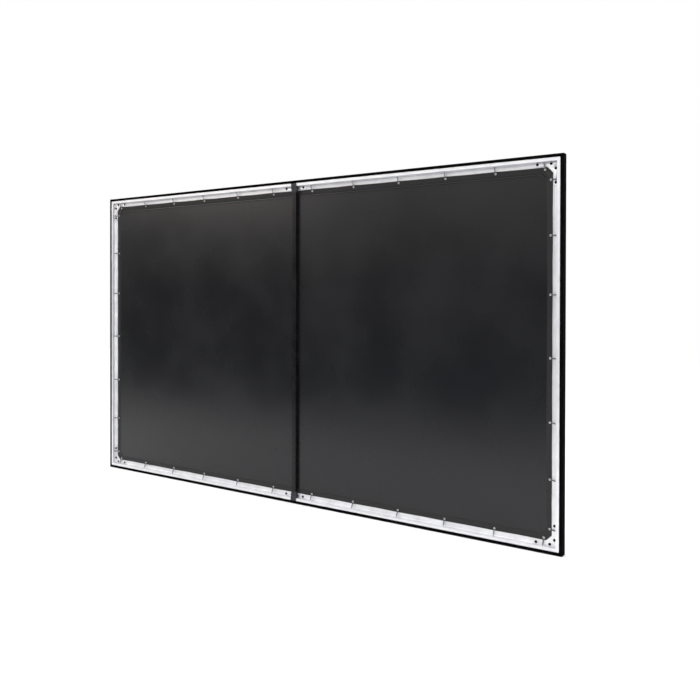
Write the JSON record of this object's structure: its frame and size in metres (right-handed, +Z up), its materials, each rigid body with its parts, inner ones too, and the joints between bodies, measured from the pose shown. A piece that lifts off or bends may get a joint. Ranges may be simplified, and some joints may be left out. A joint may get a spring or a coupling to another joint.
{
  "type": "fixed frame projection screen",
  "caption": "Fixed-frame projection screen: velvet-wrapped aluminium frame with a spring-tensioned fabric and a sliding centre support bar.",
  "frame": {"origin": "on the back plane of the bare aluminium band, halfway along the top channel's upper edge, which is the edge the screen hangs by", "axes": "+X along the long side, to the right as seen from the viewing side; +Y towards the wall; +Z up. The viewing side faces -Y"},
  "size_m": [2.816, 0.0425, 1.654],
  "materials": {
    "rail_aluminium": "satin mill",
    "bracket_aluminium": "brushed",
    "velvet": "deep black pile",
    "screen_fabric": "black-backed vinyl, matte white on the viewing side",
    "spring_zinc": "bright zinc",
    "bar_paint": "satin black powder coat",
    "screw_black": "black oxide",
    "cap_nylon": "moulded, fine texture"
  },
  "bodies": {
    "root": {"top_rail_left": "rail_aluminium", "top_rail_right": "rail_aluminium", "bottom_rail_left": "rail_aluminium", "bottom_rail_right": "rail_aluminium", "left_rail": "rail_aluminium", "right_rail": "rail_aluminium", "top_rail_left_velvet": "velvet", "top_rail_right_velvet": "velvet", "bottom_rail_left_velvet": "velvet", "bottom_rail_right_velvet": "velvet", "left_rail_velvet": "velvet", "right_rail_velvet": "velvet", "corner_bracket_bottom_left": "bracket_aluminium", "corner_bracket_bottom_right": "bracket_aluminium", "corner_bracket_top_left": "bracket_aluminium", "corner_bracket_top_right": "bracket_aluminium", "splice_plate_top": "bracket_aluminium", "splice_plate_bottom": "bracket_aluminium", "projection_fabric": "screen_fabric", "tension_spring_bottom_01": "spring_zinc", "tension_spring_bottom_02": "spring_zinc", "tension_spring_bottom_03": "spring_zinc", "tension_spring_bottom_04": "spring_zinc", "tension_spring_bottom_05": "spring_zinc", "tension_spring_bottom_06": "spring_zinc", "tension_spring_bottom_07": "spring_zinc", "tension_spring_bottom_08": "spring_zinc", "tension_spring_bottom_09": "spring_zinc", "tension_spring_bottom_10": "spring_zinc", "tension_spring_bottom_11": "spring_zinc", "tension_spring_bottom_12": "spring_zinc", "tension_spring_top_01": "spring_zinc", "tension_spring_top_02": "spring_zinc", "tension_spring_top_03": "spring_zinc", "tension_spring_top_04": "spring_zinc", "tension_spring_top_05": "spring_zinc", "tension_spring_top_06": "spring_zinc", "tension_spring_top_07": "spring_zinc", "tension_spring_top_08": "spring_zinc", "tension_spring_top_09": "spring_zinc", "tension_spring_top_10": "spring_zinc", "tension_spring_top_11": "spring_zinc", "tension_spring_top_12": "spring_zinc", "tension_spring_left_01": "spring_zinc", "tension_spring_left_02": "spring_zinc", "tension_spring_left_03": "spring_zinc", "tension_spring_left_04": "spring_zinc", "tension_spring_left_05": "spring_zinc", "tension_spring_left_06": "spring_zinc", "tension_spring_left_07": "spring_zinc", "tension_spring_right_01": "spring_zinc", "tension_spring_right_02": "spring_zinc", "tension_spring_right_03": "spring_zinc", "tension_spring_right_04": "spring_zinc", "tension_spring_right_05": "spring_zinc", "tension_spring_right_06": "spring_zinc", "tension_spring_right_07": "spring_zinc"},
    "support_bar": {"support_bar": "bar_paint", "bar_end_cap_top": "cap_nylon", "bar_end_cap_bottom": "cap_nylon"}
  },
  "joints": [
    {"name": "support_bar_slide", "type": "slide", "parent": "root", "child": "support_bar", "axis": [1, 0, 0], "range_m": [-0.073, 0.117]}
  ]
}
